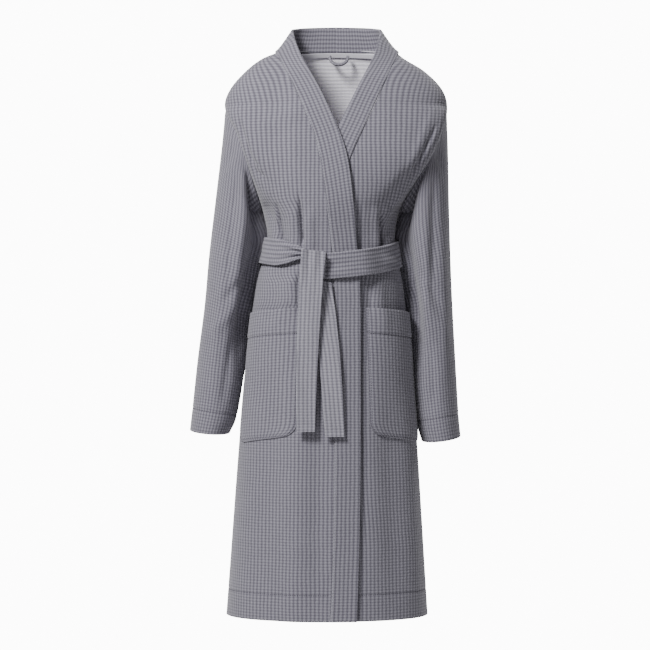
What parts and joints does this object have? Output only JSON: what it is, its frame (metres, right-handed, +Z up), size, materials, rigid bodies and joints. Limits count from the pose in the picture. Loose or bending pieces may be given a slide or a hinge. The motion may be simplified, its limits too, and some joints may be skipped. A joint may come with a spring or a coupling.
{
  "type": "bathrobe",
  "caption": "Knee-length kimono bathrobe with a folded neck band, patch pockets, long sleeves, a tied belt and a hanger loop.",
  "frame": {"origin": "the middle of the neck, level with the high shoulder points", "axes": "+Z up, +X to the right seen from the front, -Y the robe's front"},
  "size_m": [0.539, 0.3104, 1.1732],
  "materials": {
    "robe_cloth": "waffle weave, matt",
    "belt_cloth": "waffle weave, matt, folded double",
    "neck_tape": "flat woven tape, matt"
  },
  "bodies": {
    "garment": {"back_panel": "robe_cloth", "front_panel_right": "robe_cloth", "front_panel_left": "robe_cloth", "neck_band_right": "robe_cloth", "neck_band_left": "robe_cloth", "pocket_right": "robe_cloth", "pocket_left": "robe_cloth", "belt_wrap": "belt_cloth", "belt_knot": "belt_cloth", "belt_carrier_right": "robe_cloth", "belt_carrier_left": "robe_cloth", "neck_tape": "neck_tape"},
    "sleeve_right": {"sleeve_right": "robe_cloth"},
    "sleeve_left": {"sleeve_left": "robe_cloth"},
    "belt_tail_front": {"belt_tail_front": "belt_cloth"},
    "belt_tail_rear": {"belt_tail_rear": "belt_cloth"},
    "hanger_loop": {"hanger_loop": "belt_cloth"}
  },
  "joints": [
    {"name": "sleeve_right_lift", "type": "hinge", "parent": "garment", "child": "sleeve_right", "pos_m": [-0.222, 0, -0.107], "axis": [0, 1, 0], "range_deg": [0, 40]},
    {"name": "sleeve_left_lift", "type": "hinge", "parent": "garment", "child": "sleeve_left", "pos_m": [0.216, 0, -0.107], "axis": [0, -1, 0], "range_deg": [0, 40]},
    {"name": "belt_tail_front_swing", "type": "hinge", "parent": "garment", "child": "belt_tail_front", "pos_m": [-0.047, -0.148, -0.389], "axis": [-1, 0, 0], "range_deg": [0, 70]},
    {"name": "belt_tail_rear_swing", "type": "hinge", "parent": "garment", "child": "belt_tail_rear", "pos_m": [-0.035, -0.134, -0.461], "axis": [0, -1, 0], "range_deg": [0, 14]},
    {"name": "hanger_loop_flip", "type": "hinge", "parent": "garment", "child": "hanger_loop", "pos_m": [0.003, 0.0564, 0.001], "axis": [-1, 0, 0], "range_deg": [0, 140]}
  ]
}
